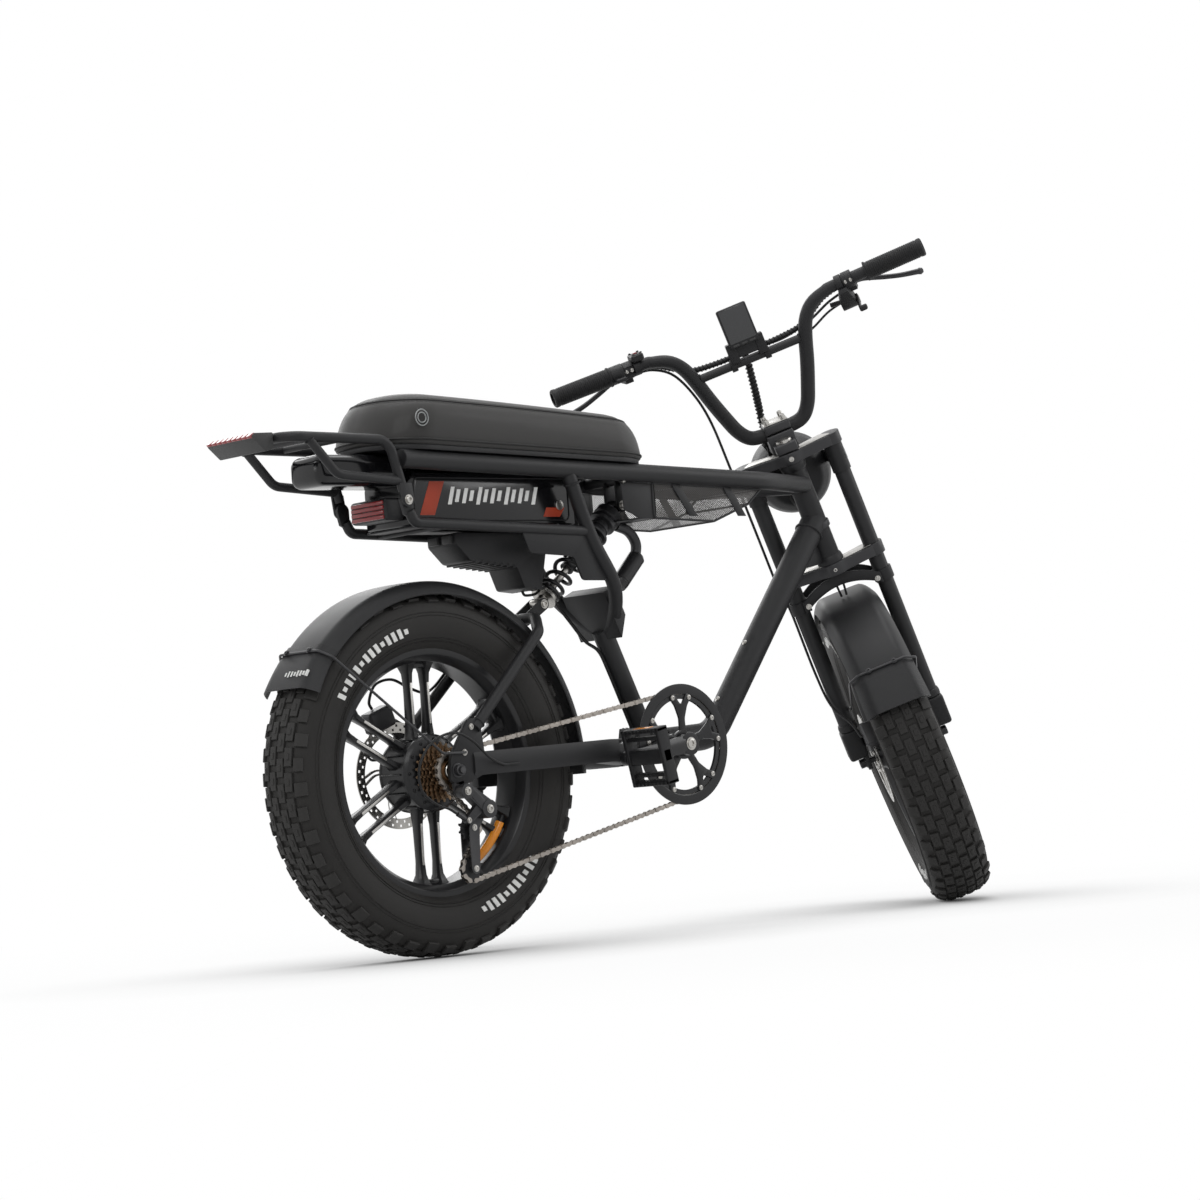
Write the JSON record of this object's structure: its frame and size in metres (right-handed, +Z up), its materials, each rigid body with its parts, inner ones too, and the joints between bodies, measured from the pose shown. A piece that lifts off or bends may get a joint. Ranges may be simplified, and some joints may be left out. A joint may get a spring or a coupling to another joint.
{
  "type": "electric bicycle",
  "caption": "Electric bicycle with fat tyres, long bench seat, sprung swingarm, double-crown fork, battery under the seat, mesh basket, rack, fenders and lights.",
  "frame": {"origin": "on the floor under the rear axle, in the bike's middle plane", "axes": "+X forward, +Y to the rider's left, +Z up; the steering is turned to the left at rest, as pictured"},
  "size_m": [1.7952, 0.5488, 1.2228],
  "materials": {
    "battery_case": "glossy black",
    "black_plastic": "satin black",
    "bright_steel": "bright",
    "cable_housing": "satin black",
    "chain_steel": "oiled",
    "dark_metal": "semi-gloss black",
    "display_glass": "glossy black",
    "fender_paint": "gloss black",
    "frame_paint": "satin black",
    "grip_rubber": "matte",
    "red_lens": "clear red",
    "seat_cover": "soft grain dark grey",
    "silver_alloy": "satin",
    "sprocket_bronze": "bronze coloured",
    "tyre_rubber": "matte"
  },
  "bodies": {
    "frame": {"main_frame": "frame_paint", "battery_pack": "battery_case", "controller_box": "black_plastic", "rear_lamp": "red_lens", "seat_base": "black_plastic", "seat_cushion": "seat_cover", "rear_rack": "frame_paint", "tail_light": "red_lens", "mesh_basket": "bright_steel", "frame_cable": "cable_housing"},
    "swingarm": {"swingarm": "frame_paint", "rear_axle": "dark_metal", "rear_fender": "fender_paint", "rear_caliper": "silver_alloy", "rear_brake_cable": "cable_housing", "derailleur_body": "dark_metal", "shift_cable": "cable_housing", "chain": "chain_steel"},
    "kickstand": {"kickstand": "dark_metal"},
    "rear_wheel": {"rear_rim": "frame_paint", "rear_tyre": "tyre_rubber", "rear_rotor": "bright_steel"},
    "freewheel": {"cassette": "sprocket_bronze"},
    "derailleur_cage": {"derailleur_cage": "bright_steel"},
    "guide_pulley": {"guide_pulley": "black_plastic"},
    "tension_pulley": {"tension_pulley": "black_plastic"},
    "shock_body": {"shock_body": "dark_metal", "shock_spring": "dark_metal"},
    "shock_shaft": {"shock_shaft": "bright_steel"},
    "crankset": {"chainring": "dark_metal", "crank_right": "dark_metal", "crank_left": "dark_metal"},
    "pedal_right": {"pedal_right": "black_plastic"},
    "pedal_left": {"pedal_left": "black_plastic"},
    "steering": {"steerer_crown": "dark_metal", "upper_crown": "dark_metal", "bar_clamp": "dark_metal", "fork_leg_right": "frame_paint", "fork_leg_left": "frame_paint", "fork_brace": "frame_paint", "front_fender": "fender_paint", "headlight": "black_plastic", "front_axle": "dark_metal", "front_caliper": "silver_alloy", "handlebar": "frame_paint", "grip_right": "grip_rubber", "grip_left": "grip_rubber", "right_controls": "black_plastic", "left_controls": "black_plastic", "display": "display_glass", "cable_bundle": "cable_housing", "front_brake_cable": "cable_housing"},
    "front_wheel": {"front_rim": "frame_paint", "front_tyre": "tyre_rubber", "front_rotor": "bright_steel"},
    "brake_lever_right": {"brake_lever_right": "dark_metal"},
    "brake_lever_left": {"brake_lever_left": "dark_metal"},
    "shift_lever": {"shift_lever": "black_plastic"},
    "throttle": {"throttle_lever": "black_plastic"},
    "horn_button": {"horn_button": "red_lens"}
  },
  "joints": [
    {"name": "swingarm_pivot", "type": "hinge", "parent": "frame", "child": "swingarm", "pos_m": [0.41, 0, 0.313], "axis": [0, 1, 0], "range_deg": [0, 6.5], "stiffness_Nm_per_rad": 5000, "springref_deg": -0.8, "deforming": ["chain"]},
    {"name": "kickstand_pivot", "type": "hinge", "parent": "swingarm", "child": "kickstand", "pos_m": [0.212, 0.1055, 0.286], "axis": [0, 1, 0], "range_deg": [0, 85]},
    {"name": "rear_wheel_spin", "type": "hinge", "parent": "swingarm", "child": "rear_wheel", "pos_m": [0, 0, 0.307], "axis": [0, 1, 0], "continuous": true},
    {"name": "freewheel_spin", "type": "hinge", "parent": "swingarm", "child": "freewheel", "pos_m": [0, 0, 0.307], "axis": [0, 1, 0], "continuous": true},
    {"name": "cage_pivot", "type": "hinge", "parent": "swingarm", "child": "derailleur_cage", "pos_m": [0.049, -0.075, 0.24], "axis": [0, 1, 0], "range_deg": [0, 2]},
    {"name": "guide_pulley_spin", "type": "hinge", "parent": "derailleur_cage", "child": "guide_pulley", "pos_m": [0.0314, -0.075, 0.2111], "axis": [0, 1, 0], "continuous": true},
    {"name": "tension_pulley_spin", "type": "hinge", "parent": "derailleur_cage", "child": "tension_pulley", "pos_m": [0.0293, -0.075, 0.1431], "axis": [0, 1, 0], "continuous": true},
    {"name": "shock_eye", "type": "hinge", "parent": "frame", "child": "shock_body", "pos_m": [0.487, 0, 0.757], "axis": [0, 1, 0], "range_deg": [-2.78, 0]},
    {"name": "shock_stroke", "type": "slide", "parent": "shock_body", "child": "shock_shaft", "axis": [0.7598, 0, 0.6502], "range_m": [0, 0.0319], "deforming": ["shock_spring"]},
    {"name": "crank_spin", "type": "hinge", "parent": "frame", "child": "crankset", "pos_m": [0.531, 0, 0.327], "axis": [0, 1, 0], "continuous": true},
    {"name": "pedal_spin_right", "type": "hinge", "parent": "crankset", "child": "pedal_right", "pos_m": [0.36709, -0.166, 0.30804], "axis": [0, 1, 0], "continuous": true},
    {"name": "pedal_spin_left", "type": "hinge", "parent": "crankset", "child": "pedal_left", "pos_m": [0.69491, 0.166, 0.34597], "axis": [0, 1, 0], "continuous": true},
    {"name": "steering", "type": "hinge", "parent": "frame", "child": "steering", "pos_m": [1.1879, 0, 0.2928], "axis": [-0.4106, 0, 0.9118], "range_deg": [-99.33, 0.67]},
    {"name": "front_wheel_spin", "type": "hinge", "parent": "steering", "child": "front_wheel", "pos_m": [1.19937, 0.01464, 0.29796], "axis": [-0.6916, 0.6517, -0.3114], "continuous": true},
    {"name": "brake_lever_right_pull", "type": "hinge", "parent": "steering", "child": "brake_lever_right", "pos_m": [1.00113, -0.13444, 1.15925], "axis": [0.441, -0.0438, -0.8964], "range_deg": [0, 18], "stiffness_Nm_per_rad": 0.8, "springref_deg": -5.73},
    {"name": "brake_lever_left_pull", "type": "hinge", "parent": "steering", "child": "brake_lever_left", "pos_m": [0.68541, 0.16307, 1.0171], "axis": [-0.3658, -0.0271, 0.9303], "range_deg": [0, 18], "stiffness_Nm_per_rad": 0.8, "springref_deg": -5.73},
    {"name": "shift_lever_turn", "type": "hinge", "parent": "steering", "child": "shift_lever", "pos_m": [0.99556, -0.14945, 1.12601], "axis": [-0.5359, 0.7883, -0.3022], "range_deg": [0, 50]},
    {"name": "throttle_turn", "type": "hinge", "parent": "steering", "child": "throttle", "pos_m": [0.65018, 0.14649, 1.01781], "axis": [0.8176, -0.487, 0.3072], "range_deg": [0, 35], "stiffness_Nm_per_rad": 0.2, "springref_deg": -11.46},
    {"name": "horn_button_press", "type": "slide", "parent": "steering", "child": "horn_button", "axis": [0.3658, 0.0271, -0.9303], "range_m": [0, 0.002], "stiffness_N_per_m": 300, "springref_m": -0.001}
  ],
  "couplings": [
    {"joint": "freewheel_spin", "follows": "crank_spin", "ratio": 3.2857},
    {"joint": "tension_pulley_spin", "follows": "crank_spin", "ratio": 4.6},
    {"joint": "guide_pulley_spin", "follows": "crank_spin", "ratio": -4.6},
    {"joint": "shock_eye", "follows": "swingarm_pivot", "ratio": -0.42423},
    {"joint": "shock_stroke", "follows": "swingarm_pivot", "m_per_rad": 0.27961},
    {"joint": "cage_pivot", "follows": "swingarm_pivot", "ratio": 0.25}
  ]
}
